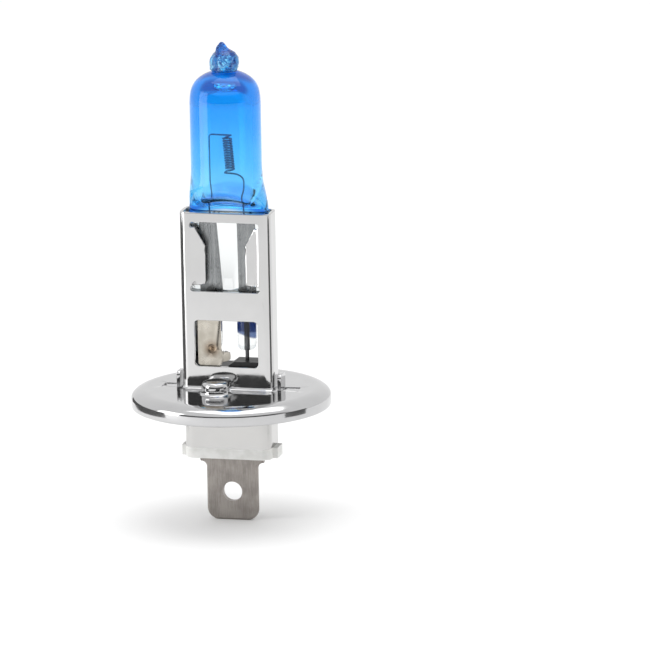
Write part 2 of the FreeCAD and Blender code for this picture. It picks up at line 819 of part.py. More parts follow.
make_quartz_bulb()
make_foil("ground", "-1")
make_foil("hot", "1")
left_wire, right_wire = "-1 * lead_spacing / 2", "lead_spacing / 2"
make_wire(
    "lead_in_long",
    "inner_wire",
    [
        (left_wire, "foil_head + seal_gap"),
        (left_wire, "long_lead_bend"),
        ("long_lead_head_across", "long_lead_head"),
        ("long_lead_end_across", "long_lead_end"),
    ],
)
make_wire(
    "lead_in_short",
    "inner_wire",
    [
        (right_wire, "foil_head + seal_gap"),
        (right_wire, "short_lead_bend"),
        ("short_lead_elbow_across", "short_lead_elbow"),
        ("short_lead_head_across", "short_lead_head"),
        ("short_lead_end_across", "short_lead_end"),
    ],
)
make_coil()
make_wire(
    "lead_out_hot",
    "outer_wire",
    [(right_wire, "tang_head"), (right_wire, "foil_foot - seal_gap")],
)
make_wire(
    "lead_out_ground",
    "outer_wire",
    [(left_wire, "ground_wire_foot"), (left_wire, "foil_foot - seal_gap")],
)
make_sleeve()
make_ground_plate()
make_flange()
make_inner_insulator()
make_base_shell()
make_ceramic()
make_blade()
doc.recompute()

for item in doc.Objects:
    if {"Invalid", "Error"} & set(item.State):
        raise RuntimeError(f"{item.Name} failed: {item.State}")
for body in sub_parts:
    if body.Shape.isNull() or not body.Shape.isValid():
        raise RuntimeError(f"{body.Label} has no valid shape")
    if len(body.Shape.Solids) != 1:
        raise RuntimeError(f"{body.Label} holds {len(body.Shape.Solids)} solids")
for body in sub_parts:
    body.Shape.exportStep(f"parts/{body.Label}.step")
    box = body.Shape.BoundBox
    print(f"{body.Label:18s} {body.Shape.Volume:9.3f} mm3  z {box.ZMin:7.2f} to {box.ZMax:6.2f}")
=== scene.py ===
"""Looks of the blue halogen headlight bulb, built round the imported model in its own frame.

Lengths in the shape functions are millimetres in the model's frame, scaled once to metres:
+Z towards the glass tip, +X along the wide side of the sleeve, the front faces -Y.
"""

import math

import bmesh
import bpy
from mathutils import Matrix, Vector, noise


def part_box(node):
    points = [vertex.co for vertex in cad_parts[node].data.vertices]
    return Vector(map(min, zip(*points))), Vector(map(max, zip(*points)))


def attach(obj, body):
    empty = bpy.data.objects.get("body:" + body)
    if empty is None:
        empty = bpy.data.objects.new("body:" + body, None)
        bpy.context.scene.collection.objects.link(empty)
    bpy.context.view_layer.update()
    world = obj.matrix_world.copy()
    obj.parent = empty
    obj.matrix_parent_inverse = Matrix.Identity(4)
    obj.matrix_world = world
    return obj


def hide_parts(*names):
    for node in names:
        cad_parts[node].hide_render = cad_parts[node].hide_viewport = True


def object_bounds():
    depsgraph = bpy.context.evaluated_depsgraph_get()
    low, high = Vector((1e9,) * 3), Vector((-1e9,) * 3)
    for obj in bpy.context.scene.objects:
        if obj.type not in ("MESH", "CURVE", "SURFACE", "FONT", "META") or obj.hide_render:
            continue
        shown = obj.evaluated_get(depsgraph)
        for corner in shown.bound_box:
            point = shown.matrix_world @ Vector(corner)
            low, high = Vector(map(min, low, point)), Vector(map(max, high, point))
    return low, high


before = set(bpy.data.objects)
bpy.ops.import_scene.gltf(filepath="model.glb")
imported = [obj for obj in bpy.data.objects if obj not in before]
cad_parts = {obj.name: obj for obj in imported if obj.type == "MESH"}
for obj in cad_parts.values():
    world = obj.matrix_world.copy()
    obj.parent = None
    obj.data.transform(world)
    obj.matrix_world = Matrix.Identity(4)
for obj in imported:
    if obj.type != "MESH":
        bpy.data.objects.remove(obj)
cad_box = [list(corner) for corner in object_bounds()]
MM = 0.001


def box_mm(node):
    """A CAD node's lowest and highest corners, in millimetres."""
    low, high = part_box(node)
    return [value / MM for value in low], [value / MM for value in high]


# ---------------------------------------------------------------- material helpers

# A mix node has several sockets of each name, so its colour sockets go by number.
MIX_COLOUR_A, MIX_COLOUR_B, MIX_COLOUR_RESULT = 6, 7, 2


class Nodes:
    """A material with one Principled shader, and short ways to feed it."""

    def __init__(self, name):
        self.material = bpy.data.materials.new(name)
        self.material.use_nodes = True
        self.tree = self.material.node_tree
        self.shader = self.tree.nodes["Principled BSDF"]
        self.place = self.add("ShaderNodeTexCoord").outputs["Object"]

    def add(self, kind, **settings):
        node = self.tree.nodes.new(kind)
        for key, value in settings.items():
            setattr(node, key, value)
        return node

    def link(self, source, target):
        self.tree.links.new(source, target)

    def set(self, **values):
        """Sets the shader's own sockets, with underscores for the spaces in their names."""
        for key, value in values.items():
            self.shader.inputs[key.replace("_", " ")].default_value = value

    def noise(self, size_mm, detail=3.0, rough=0.5, stretch=(1, 1, 1)):
        """Noise whose features are about size_mm, drawn out by stretch."""
        mapping = self.add("ShaderNodeMapping")
        mapping.inputs["Scale"].default_value = [1 / (size_mm * MM * s) for s in stretch]
        self.link(self.place, mapping.inputs["Vector"])
        texture = self.add("ShaderNodeTexNoise")
        texture.inputs["Scale"].default_value = 1.0
        texture.inputs["Detail"].default_value = detail
        texture.inputs["Roughness"].default_value = rough
        self.link(mapping.outputs["Vector"], texture.inputs["Vector"])
        return texture.outputs["Fac"]

    def spread(self, value, low, high, start=0.3, end=0.7):
        """Maps a value between start and end to low and high."""
        node = self.add("ShaderNodeMapRange")
        limits = {"From Min": start, "From Max": end, "To Min": low, "To Max": high}
        for key, number in limits.items():
            node.inputs[key].default_value = number
        self.link(value, node.inputs["Value"])
        return node.outputs["Result"]

    def ramp(self, value, stops):
        """A colour for the value, through (position, colour) stops."""
        node = self.add("ShaderNodeValToRGB")
        node.color_ramp.interpolation = "EASE"
        elements = node.color_ramp.elements
        while len(elements) < len(stops):
            elements.new(0.5)
        for element, (position, colour) in zip(elements, stops):
            element.position = position
            element.color = (*colour, 1)
        self.link(value, node.inputs["Fac"])
        return node.outputs["Color"]

    def cloudy(self, value, dark, light, start=0.3, end=0.7):
        """Feeds the base colour with two tones, mixed by the value."""
        tone = self.ramp(value, [(start, dark), (end, light)])
        self.link(tone, self.shader.inputs["Base Color"])

    def sheen(self, value, low, high):
        """Feeds the roughness with a range, spread by the value."""
        self.link(self.spread(value, low, high), self.shader.inputs["Roughness"])

    def math(self, operation, first, second):
        """A math node fed by two sockets."""
        node = self.add("ShaderNodeMath", operation=operation)
        self.link(first, node.inputs[0])
        self.link(second, node.inputs[1])
        return node.outputs[0]

    def stained(self, tone, colour, share):
        """Mixes a fixed colour into a tone by a share, and feeds the base colour."""
        mix = self.add("ShaderNodeMix", data_type="RGBA")
        self.link(share, mix.inputs["Factor"])
        self.link(tone, mix.inputs[MIX_COLOUR_A])
        mix.inputs[MIX_COLOUR_B].default_value = (*colour, 1)
        self.link(mix.outputs[MIX_COLOUR_RESULT], self.shader.inputs["Base Color"])

    def bump(self, value, depth_mm, strength=1.0):
        node = self.add("ShaderNodeBump")
        node.inputs["Distance"].default_value = depth_mm * MM
        node.inputs["Strength"].default_value = strength
        self.link(value, node.inputs["Height"])
        self.link(node.outputs["Normal"], self.shader.inputs["Normal"])


def polished_metal(name, colour, rough, wave_mm=6.0, wave_depth=0.004):
    """Bright plating: nearly a mirror, with faint rolling waves and smears."""
    nodes = Nodes(name)
    nodes.set(Metallic=1.0)
    duller = [0.96 * channel for channel in colour]
    nodes.cloudy(nodes.noise(size_mm=3.0, detail=4), duller, colour)
    smear = nodes.noise(size_mm=2.2, detail=5, rough=0.6)
    nodes.sheen(smear, low=rough * 0.6, high=rough * 1.6)
    nodes.bump(nodes.noise(wave_mm, detail=1, rough=0.3), wave_depth)
    return nodes.material


def satin_metal(name, dark, light, rough, grain=(1, 1, 12), grain_mm=0.12):
    """Rolled or plated strip with a fine grain along one direction."""
    nodes = Nodes(name)
    nodes.set(Metallic=1.0)
    lines = nodes.noise(grain_mm, detail=3, rough=0.6, stretch=grain)
    cloud = nodes.noise(size_mm=1.8, detail=4, rough=0.6)
    blend = nodes.add("ShaderNodeMix", data_type="FLOAT")
    blend.inputs["Factor"].default_value = 0.5
    nodes.link(lines, blend.inputs["A"])
    nodes.link(cloud, blend.inputs["B"])
    mixed = blend.outputs["Result"]
    nodes.cloudy(mixed, dark, light, start=0.35, end=0.65)
    nodes.sheen(mixed, low=rough * 1.2, high=rough * 0.85)
    nodes.bump(lines, depth_mm=0.012, strength=0.6)
    return nodes.material


# The weld that fixes the ground lead to its plate: across, forward and up, in mm.
WELD_ACROSS, WELD_FORWARD, WELD_RISE = -1.9, -1.45, 4.95
BURNT_INNER, BURNT_OUTER = 0.25, 1.3


def plate_metal():
    """Dull nickel strip, browned by heat round the weld."""
    nodes = Nodes("matte_nickel")
    nodes.set(Metallic=1.0)
    cloud = nodes.noise(size_mm=1.4, detail=4, rough=0.6)
    dark, light, brown = (0.50, 0.465, 0.40), (0.60, 0.565, 0.50), (0.20, 0.12, 0.06)
    apart = nodes.add("ShaderNodeVectorMath", operation="DISTANCE")
    nodes.link(nodes.place, apart.inputs[0])
    weld = (WELD_ACROSS * MM, WELD_FORWARD * MM, WELD_RISE * MM)
    apart.inputs[1].default_value = weld
    burnt = nodes.spread(
        apart.outputs["Value"], low=0.85, high=0.0, start=BURNT_INNER * MM, end=BURNT_OUTER * MM
    )
    nodes.stained(nodes.ramp(cloud, [(0.3, dark), (0.7, light)]), brown, burnt)
    nodes.sheen(cloud, low=0.34, high=0.24)
    grain = nodes.noise(size_mm=0.2, detail=3, rough=0.6, stretch=(1, 1, 5))
    nodes.bump(grain, depth_mm=0.004, strength=0.5)
    return nodes.material


def moulded(name, dark, light, rough):
    """Moulded plastic or fired ceramic with a fine grain."""
    nodes = Nodes(name)
    cloud = nodes.noise(size_mm=1.2, detail=5, rough=0.6)
    nodes.cloudy(cloud, dark, light)
    nodes.sheen(cloud, low=rough * 0.85, high=rough * 1.1)
    nodes.bump(nodes.noise(size_mm=0.25, detail=4, rough=0.6), depth_mm=0.02, strength=0.8)
    return nodes.material


CLEAR, LEG_BAND = (0.96, 0.985, 0.985), (0.015, 0.03, 0.11)
# The tint of the outside by height in mm: a dark band on the exit legs, clear on the pinch, and
# blue from its head upwards, lighter, darker and lighter again across its foot from 22.3 to 24.6.
# On the tip-off bead the navy at 38.5 to 38.85 and towards 41.0 is painted shade in its creases,
# and the paler blue from 39.1 to 40.2 is a painted highlight.
TINTS_AND_PAINTED_LIGHT = [
    (6.8, CLEAR),
    (7.05, LEG_BAND),
    (9.0, LEG_BAND),
    (9.3, CLEAR),
    (21.4, CLEAR),
    (22.3, (0.12, 0.50, 1.0)),
    (23.0, (0.035, 0.20, 0.80)),
    (23.9, (0.06, 0.32, 0.92)),
    (24.6, (0.13, 0.58, 1.0)),
    (29.3, (0.045, 0.44, 1.0)),
    (34.2, (0.006, 0.32, 1.0)),
    (38.15, (0.006, 0.27, 0.96)),
    # Painted shade in the bead's lower crease, then a painted highlight over its middle.
    (38.5, (0.0, 0.03, 0.28)),
    (38.85, (0.0, 0.03, 0.28)),
    (39.1, (0.24, 0.68, 1.0)),
    (40.2, (0.16, 0.58, 1.0)),
    (41.0, (0.02, 0.10, 0.46)),
]
TINT_FOOT, TINT_HEAD = 5.0, 42.0
# The coating's edge rises by this much, times the square of the distance from the axis.
ARCH_PER_METRE = 80.0
# The tip-off bead gets patches of painted shade for its dark refractions, fading in between these
# heights.
SHADE_PATCHES_FOOT, SHADE_PATCHES_HEAD = 38.6, 38.9
PAINTED_SHADE_PATCH = (0.0, 0.035, 0.24)


def coated_quartz_painted_shade():
    """Clear quartz whose outside carries a transparent blue coating above the pinch, with painted
    shade and highlight on the bead.
    """
    nodes = Nodes("coated_quartz_painted_shade")
    nodes.set(Transmission_Weight=1.0, IOR=1.46, Roughness=0.0)
    split = nodes.add("ShaderNodeSeparateXYZ")
    nodes.link(nodes.place, split.inputs["Vector"])
    across, height = split.outputs["X"], split.outputs["Z"]
    arched = nodes.add("ShaderNodeMath", operation="MULTIPLY_ADD")
    nodes.link(nodes.math("MULTIPLY", across, across), arched.inputs[0])
    arched.inputs[1].default_value = ARCH_PER_METRE
    nodes.link(height, arched.inputs[2])
    share = nodes.spread(
        arched.outputs[0], low=0, high=1, start=TINT_FOOT * MM, end=TINT_HEAD * MM
    )
    stops = [((z - TINT_FOOT) / (TINT_HEAD - TINT_FOOT), colour) for z, colour in TINTS_AND_PAINTED_LIGHT]
    tone = nodes.ramp(share, stops)
    # Patches of painted shade on the tip-off bead.
    on_bead = nodes.spread(
        height, low=0, high=1, start=SHADE_PATCHES_FOOT * MM, end=SHADE_PATCHES_HEAD * MM
    )
    shade_noise = nodes.noise(size_mm=1.0, detail=1, rough=0.5)
    painted_shade_patches = nodes.spread(shade_noise, low=0, high=0.96, start=0.5, end=0.55)
    nodes.stained(tone, PAINTED_SHADE_PATCH, nodes.math("MULTIPLY", on_bead, painted_shade_patches))
    ripple = nodes.noise(size_mm=5.0, detail=2, rough=0.4, stretch=(1, 1, 2.5))
    nodes.bump(ripple, depth_mm=0.02, strength=0.5)
    return nodes.material


def clear_quartz():
    """The uncoated inside wall of the quartz."""
    nodes = Nodes("clear_quartz")
    nodes.set(Transmission_Weight=1.0, IOR=1.46, Roughness=0.0)
    nodes.cloudy(nodes.noise(size_mm=4.0, detail=2), (0.97, 0.99, 1.0), (1.0, 1.0, 1.0))
    nodes.bump(nodes.noise(size_mm=6.0, detail=1, rough=0.3), depth_mm=0.01, strength=0.5)
    return nodes.material


# ---------------------------------------------------------------- mesh helpers


def finish_piece(name, work, materials, stands_for):
    """Turns a millimetre bmesh into a smooth-shaded piece that rides on the one body."""
    bmesh.ops.scale(work, vec=(MM, MM, MM), verts=work.verts)
    mesh = bpy.data.meshes.new(name)
    work.to_mesh(mesh)
    work.free()
    for face in mesh.polygons:
        face.use_smooth = True
    piece = bpy.data.objects.new(name, mesh)
    bpy.context.scene.collection.objects.link(piece)
    for material in materials:
        mesh.materials.append(material)
    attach(piece, "root")
    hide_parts(stands_for)
    return piece


def face_outwards(work):
    bmesh.ops.recalc_face_normals(work, faces=work.faces)
    return work


def evaluated(work, name, *modifiers):
    """The bmesh after some modifiers, each given as (kind, settings)."""
    mesh = bpy.data.meshes.new(name)
    work.to_mesh(mesh)
    work.free()
    holder = bpy.data.objects.new(name, mesh)
    bpy.context.scene.collection.objects.link(holder)
    for kind, settings in modifiers:
        modifier = holder.modifiers.new(kind.lower(), kind)
        for key, value in settings.items():
            setattr(modifier, key, value)
    bpy.context.view_layer.update()
    ready = holder.evaluated_get(bpy.context.evaluated_depsgraph_get()).to_mesh()
    result = bmesh.new()
    result.from_mesh(ready)
    bpy.data.objects.remove(holder)
    bpy.data.meshes.remove(mesh)
    return result


def merged(target, *others):
    """Adds other bmeshes to the target as loose shells."""
    for other in others:
        mesh = bpy.data.meshes.new("part")
        other.to_mesh(mesh)
        other.free()
        target.from_mesh(mesh)
        bpy.data.meshes.remove(mesh)
    return target


def bridge_rings(work, rings, material=0):
    """Quads between closed rings of points, with a fan over each end, all facing outwards."""
    loops = [[work.verts.new(point) for point in ring] for ring in rings]
    for low, high in zip(loops, loops[1:]):
        for i in range(len(low)):
            j = (i + 1) % len(low)
            face = work.faces.new((low[i], low[j], high[j], high[i]))
            face.material_index = material
    for loop in (loops[0], loops[-1]):
        middle = work.verts.new(sum((v.co for v in loop), Vector()) / len(loop))
        for i in range(len(loop)):
            face = work.faces.new((loop[i], loop[(i + 1) % len(loop)], middle))
            face.material_index = material
    face_outwards(work)


def smooth_line(places, steps):
    """Points along a smooth curve through the given places, steps of them for each span."""
    ends = [places[0]] + list(places) + [places[-1]]
    line = []
    for a, b, c, d in zip(ends, ends[1:], ends[2:], ends[3:]):
        for step in range(steps):
            t = step / steps
            point = []
            for p, q, r, v in zip(a, b, c, d):
                bend = 2 * p - 5 * q + 4 * r - v
                twist = -p + 3 * q - 3 * r + v
                point.append(0.5 * (2 * q + (r - p) * t + bend * t * t + twist * t**3))
            line.append(tuple(point))
    line.append(tuple(places[-1]))
    return line


def smooth_step(value):
    value = min(max(value, 0.0), 1.0)
    return value * value * (3 - 2 * value)


def arc(centre, radius, start, end, steps):
    """Points along a circular arc, angles in degrees, as (across, height)."""
    points = []
    for i in range(steps + 1):
        angle = math.radians(start + (end - start) * i / steps)
        points.append((centre[0] + radius * math.cos(angle), centre[1] + radius * math.sin(angle)))
    return points


# ---------------------------------------------------------------- quartz envelope

ROUND_STEPS = 96
TUBE_RADIUS, CAVITY_RADIUS, QUARTZ_WALL = 4.25, 3.22, 1.03
PINCH_HALF_WIDTH, PINCH_HALF_DEPTH = 4.92, 1.05
PINCH_FOOT, PINCH_HEAD, TUBE_FOOT, TUBE_HEAD = 8.5, 21.6, 27.6, 34.9
# The arch-shaped edge that the pinching jaws left: its height on the axis and how far it falls.
ARCH_HEAD, ARCH_DROP, ARCH_HALF_WIDTH = 25.6, 1.1, 4.6
PINCH_SQUARENESS = 0.3
# The foot of the pinch is bevelled to these shares of its width and depth.
FOOT_BEVEL, FOOT_WIDTH_SHARE, FOOT_DEPTH_SHARE = 0.18, 0.975, 0.86
# Half widths of the glass by height, from the pinch to the round tube: (height, half width).
FLARE_RIGHT = [(20.6, 4.92), (21.6, 5.03), (22.3, 5.03), (23.1, 4.85), (24.1, 4.59)]
FLARE_RIGHT += [(25.1, 4.38), (26.3, 4.28), (27.6, 4.25)]
FLARE_LEFT = [(20.6, 4.92), (21.6, 4.76), (22.3, 4.62), (23.1, 4.57), (24.1, 4.47)]
FLARE_LEFT += [(25.1, 4.36), (26.3, 4.27), (27.6, 4.25)]
# Outlines as (radius, height).
DOME = [(4.2, 35.6), (4.07, 36.29), (3.9, 36.75), (3.63, 37.22), (3.24, 37.64), (2.65, 38.06)]
DOME += [(2.1, 38.33), (1.7, 38.48), (1.52, 38.58), (1.52, 38.68)]
BEAD = [(1.62, 38.84), (1.69, 39.1), (1.71, 39.55), (1.68, 40.0), (1.57, 40.38), (1.32, 40.7)]
BEAD += [(1.08, 40.88), (0.92, 41.02)]
NUB = [(0.79, 41.18), (0.65, 41.4), (0.5, 41.65), (0.33, 41.88), (0.16, 42.04)]
BUBBLE = [(0.1, 38.72), (0.3, 38.8), (0.6, 39.08), (0.72, 39.45), (0.62, 39.8), (0.42, 40.05)]
BUBBLE += [(0.36, 40.3), (0.22, 40.5), (0.07, 40.56)]
# The bead and the point begin at these heights and are full after BLEND.
BEAD_START, NUB_START, BLEND = 38.3, 40.7, 0.8
NUB_SHIFT, BEAD_LEAN = -0.28, 0.09
BEAD_LUMPS, BUBBLE_LUMPS = 0.085, 0.5
COARSE_LUMPS, FINE_LUMPS, FINE_SHARE = 1.1, 2.9, 0.7
# The cavity's foot as (half width, share of the depth between the walls, height).
CAVITY = [(0.9, 0.3, 22.42), (1.8, 0.6, 22.47), (2.45, 0.85, 22.62), (2.85, 0.97, 22.9)]
CAVITY += [(3.06, 1.0, 23.25), (3.17, 1.0, 23.7), (3.22, 1.0, 24.2), (3.22, 1.0, 25.0)]
CAVITY += [(3.22, 1.0, 26.0), (3.22, 1.0, 28.0), (3.22, 1.0, 31.0), (3.22, 1.0, 34.4)]
CAVITY_ARCH, CAVITY_ARCH_FOOT, CAVITY_ARCH_RUN = 0.9, 22.6, 3.0
CAVITY_HEAD, CAVITY_ROUNDING, CAVITY_FLAT = 36.75, 2.3, 0.92
LEG_PLACES = (-2.1, 2.1)
LEG_PROFILE = [(0.55, 4.7), (0.85, 4.78), (1.05, 5.0), (1.12, 5.4), (1.15, 6.1), (1.15, 8.5)]
LEG_PROFILE += [(0.9, 9.5)]


def round_angles():
    return [2 * math.pi * i / ROUND_STEPS for i in range(ROUND_STEPS)]


def pinch_half_depth(x, z):
    """Half the glass's thickness: the jaws leave an arch-shaped edge on the round tube."""
    arch_head = ARCH_HEAD - ARCH_DROP * min(1.0, (x / ARCH_HALF_WIDTH) ** 2)
    rise = (z - PINCH_HEAD) / (arch_head - PINCH_HEAD)
    return PINCH_HALF_DEPTH + (TUBE_RADIUS - PINCH_HALF_DEPTH) * smooth_step(rise)


def pinch_ring(z, right, left):
    """The outline of the quartz at one height below the tube: round above, flat below."""
    corner = min(pinch_half_depth(0, z), right, left)
    ring = []
    for angle in round_angles():
        across, along = math.cos(angle), math.sin(angle)
        half_width = right if across > 0 else left
        flat = math.copysign(abs(across) ** PINCH_SQUARENESS, across)
        x = (half_width - corner) * flat + corner * across
        ring.append((x, pinch_half_depth(x, z) * along, z))
    return ring


def turned_ring(radius, z, shift=0.0):
    return [
        (shift + radius * math.cos(angle), radius * math.sin(angle), z)
        for angle in round_angles()
    ]


def melted(ring, depth):
    """A ring swollen unevenly, as where the quartz was drawn off while soft."""
    lumpy = []
    for place in ring:
        coarse = noise.noise(Vector(place) * COARSE_LUMPS)
        fine = noise.noise(Vector(place) * FINE_LUMPS)
        swell = 1 + depth * (coarse + FINE_SHARE * fine)
        lumpy.append((place[0] * swell, place[1] * swell, place[2]))
    return lumpy


def cavity_ring(half_width, fill, z):
    """The inside at one height, whose foot arches up between the flattened walls."""
    fading = 1 - smooth_step((z - CAVITY_ARCH_FOOT) / CAVITY_ARCH_RUN)
    ring = []
    for angle in round_angles():
        x = half_width * math.cos(angle)
        lift = CAVITY_ARCH * (1 - (x / CAVITY_RADIUS) ** 2) * fading
        half_depth = min(CAVITY_RADIUS, pinch_half_depth(x, z + lift) - QUARTZ_WALL) * fill
        ring.append((x, half_depth * math.sin(angle), z + lift))
    return ring


def quartz_rings():
    """Rings of the outside, from the foot of the pinch to the tip-off point."""
    half = PINCH_HALF_WIDTH
    foot = pinch_ring(PINCH_FOOT, half, half)
    rings = [[(x * FOOT_WIDTH_SHARE, y * FOOT_DEPTH_SHARE, z) for x, y, z in foot]]
    rings.append(pinch_ring(PINCH_FOOT + FOOT_BEVEL, half, half))
    right, left = smooth_line(FLARE_RIGHT, 6), smooth_line(FLARE_LEFT, 6)
    for (z, right_half), (_, left_half) in zip(right, left):
        rings.append(pinch_ring(z, right_half, left_half))
    steps = 8
    for i in range(1, steps + 1):
        rings.append(turned_ring(TUBE_RADIUS, TUBE_FOOT + (TUBE_HEAD - TUBE_FOOT) * i / steps))
    outline = smooth_line([(TUBE_RADIUS, TUBE_HEAD)] + DOME + BEAD + NUB, 3)
    for radius, z in outline[1:]:
        bead_share = smooth_step((z - BEAD_START) / BLEND)
        nub_share = smooth_step((z - NUB_START) / BLEND)
        ring = turned_ring(radius, z, NUB_SHIFT * nub_share)
        lean = BEAD_LEAN * bead_share * (1 - nub_share)
        lumpy = melted(ring, BEAD_LUMPS * bead_share)
        rings.append([(x, y, height + lean * x) for x, y, height in lumpy])
    return rings


def cavity_rings():
    """Rings of the sealed space round the coil, with a rounded head."""
    rings = [cavity_ring(*place) for place in smooth_line(CAVITY, 3)]
    centre = (CAVITY_FLAT, CAVITY_HEAD - CAVITY_ROUNDING)
    for radius, z in arc(centre, CAVITY_ROUNDING, 6, 86, 14):
        rings.append(turned_ring(radius, z))
    rings.append(turned_ring(0.5, CAVITY_HEAD + 0.02))
    return rings


def exit_leg(across):
    """A short round leg of quartz that covers the lead where it leaves the pinch."""
    leg = bmesh.new()
    profile = smooth_line(LEG_PROFILE, 4)
    bridge_rings(leg, [turned_ring(radius, z, across) for radius, z in profile])
    return leg


def joined(work, others, operation):
    """A boolean of the first bmesh with each of the others."""
    for other in others:
        mesh = bpy.data.meshes.new("tool")
        other.to_mesh(mesh)
        other.free()
        tool = bpy.data.objects.new("tool", mesh)
        bpy.context.scene.collection.objects.link(tool)
        settings = {"object": tool, "operation": operation, "solver": "EXACT"}
        work = evaluated(work, "work", ("BOOLEAN", settings))
        bpy.data.objects.remove(tool)
        bpy.data.meshes.remove(mesh)
    return work


def make_quartz():
    """The coated outside, with the clear walls of the cavity and of the bead's bubble in it."""
    work = bmesh.new()
    bridge_rings(work, quartz_rings())
    work = joined(work, [exit_leg(across) for across in LEG_PLACES], "UNION")
    bubble = [melted(turned_ring(*place), BUBBLE_LUMPS) for place in smooth_line(BUBBLE, 3)]
    for hollow in (cavity_rings(), bubble):
        inside = bmesh.new()
        bridge_rings(inside, hollow, material=1)
        bmesh.ops.reverse_faces(inside, faces=inside.faces)
        merged(work, inside)
    materials = [coated_quartz_painted_shade(), clear_quartz()]
    finish_piece("quartz_envelope", work, materials, "quartz_bulb")


# ---------------------------------------------------------------- sheet metal helpers

HOLE_STEPS = 32


def add_bevel(piece, width_mm, angle):
    bevel = piece.modifiers.new("soft_edges", "BEVEL")
    bevel.width = width_mm * MM
    bevel.segments = 2
    bevel.limit_method = "ANGLE"
    bevel.angle_limit = math.radians(angle)
    return bevel


def soften(piece, width_mm):
    """Small rounded edges, with flat faces kept flat in the shading."""
    add_bevel(piece, width_mm, 35).use_clamp_overlap = False
    weights = piece.modifiers.new("flat_faces", "WEIGHTED_NORMAL")
    weights.weight = 60
    weights.keep_sharp = True


def add_loop(work, points, height=0.0):
    """A closed loop of edges in the pattern plane."""
    verts = [work.verts.new((across, along, height)) for across, along in points]
    edges = [work.edges.new((a, b)) for a, b in zip(verts, verts[1:] + verts[:1])]
    return verts, edges


def thickened(work, thickness):
    """Gives a sheet its thickness, on the side that its faces turn away from."""
    return evaluated(work, "sheet", ("SOLIDIFY", {"thickness": thickness, "offset": -1.0}))


def cut_along(work, axis, places):
    """Cuts the flat pattern along straight lines, so that it can bend there."""
    normal = Vector((1, 0, 0)) if axis == "x" else Vector((0, 1, 0))
    for place in places:
        everything = list(work.verts) + list(work.edges) + list(work.faces)
        bmesh.ops.bisect_plane(work, geom=everything, plane_co=normal * place, plane_no=normal)


def rounded_rectangle(half_width, half_depth, corner, steps):
    """The outline of a rectangle with round corners, as (across, along)."""
    points = []
    for turn, (side, front) in enumerate(((1, 1), (-1, 1), (-1, -1), (1, -1))):
        centre = (side * (half_width - corner), front * (half_depth - corner))
        points += arc(centre, corner, 90 * turn, 90 * turn + 90, steps)
    return points


# ---------------------------------------------------------------- sleeve

SLEEVE_HALF_WIDTH, SLEEVE_HALF_DEPTH, SLEEVE_CORNER, SLEEVE_SHEET = 5.6, 1.9, 0.95, 0.4
SLEEVE_FOOT, SLEEVE_HEAD = -0.5, 21.6
WINDOW_HALF, WINDOW_CORNER, SLOT_RADIUS = 3.9, 0.5, 0.35
UPPER_WINDOW, LOWER_WINDOW = (12.0, 20.45), (2.84, 8.46)
LOWER_MIDDLE = sum(LOWER_WINDOW) / 2
FLAP_FOOT, FLAP_SHOULDER, FLAP_HEAD, FLAP_REACH, FLAP_PRESS = 12.75, 17.6, 19.95, 1.45, 0.43
FLAP_CORNER, FLAP_ROOT = 0.3, 0.35
# Along the flat pattern, half the front or back, one corner's bend, and one narrow side.
FLAT = SLEEVE_HALF_WIDTH - SLEEVE_CORNER
BEND = SLEEVE_CORNER * math.pi / 2
SIDE = 2 * (SLEEVE_HALF_DEPTH - SLEEVE_CORNER)
HALF_LENGTH = FLAT + BEND + SIDE / 2
# Extra cuts: rows close to the two ends, and the lines where the flaps and their roots bend.
END_ROWS = (SLEEVE_FOOT + 0.12, SLEEVE_HEAD - 0.12)
FLAP_LINES, FLAP_LINES_START, FLAP_LINES_STEP = 15, 2.3, 0.16
BEND_STEPS = 10
# Points of the pattern closer than this, in mm, are one.
TINY = 0.002


def upper_window():
    """Half of the upper window's outline, from the foot to the head: slots round two flaps."""
    low, high = UPPER_WINDOW
    edge = WINDOW_HALF - FLAP_REACH
    half = arc((WINDOW_HALF, low + SLOT_RADIUS), SLOT_RADIUS, -90, 90, 8)
    half += [(WINDOW_HALF - 0.15, FLAP_FOOT - 0.02)]
    flap_corner = (edge + FLAP_CORNER, FLAP_FOOT - 0.02 + FLAP_CORNER)
    half += arc(flap_corner, FLAP_CORNER, 270, 180, 4)
    half += [(edge, FLAP_SHOULDER - 0.25), (edge + 0.04, FLAP_SHOULDER)]
    half += [(edge + 0.16, FLAP_SHOULDER + 0.24), (WINDOW_HALF - 0.3, FLAP_HEAD - 0.25)]
    half += arc((WINDOW_HALF, high - SLOT_RADIUS), SLOT_RADIUS, -130, 90, 10)
    return half


def mirrored(half):
    return half + [(-across, along) for across, along in reversed(half)]


def flap_dent(across, along):
    """How far the sheet is pressed in at a point of the flat pattern."""
    from_root = WINDOW_HALF + FLAP_ROOT - abs(across)
    reach = from_root / (FLAP_REACH + FLAP_ROOT)
    if reach <= 0 or not FLAP_FOOT - 0.1 < along < FLAP_HEAD + 0.02:
        return 0.0
    ends = smooth_step((along - FLAP_FOOT + 0.1) / 0.3) * smooth_step((FLAP_HEAD - along) / 0.5)
    on_flap = smooth_step(from_root / 0.5)
    return FLAP_PRESS * min(reach, 1.0) ** 0.8 * (ends * (1 - on_flap) + on_flap)


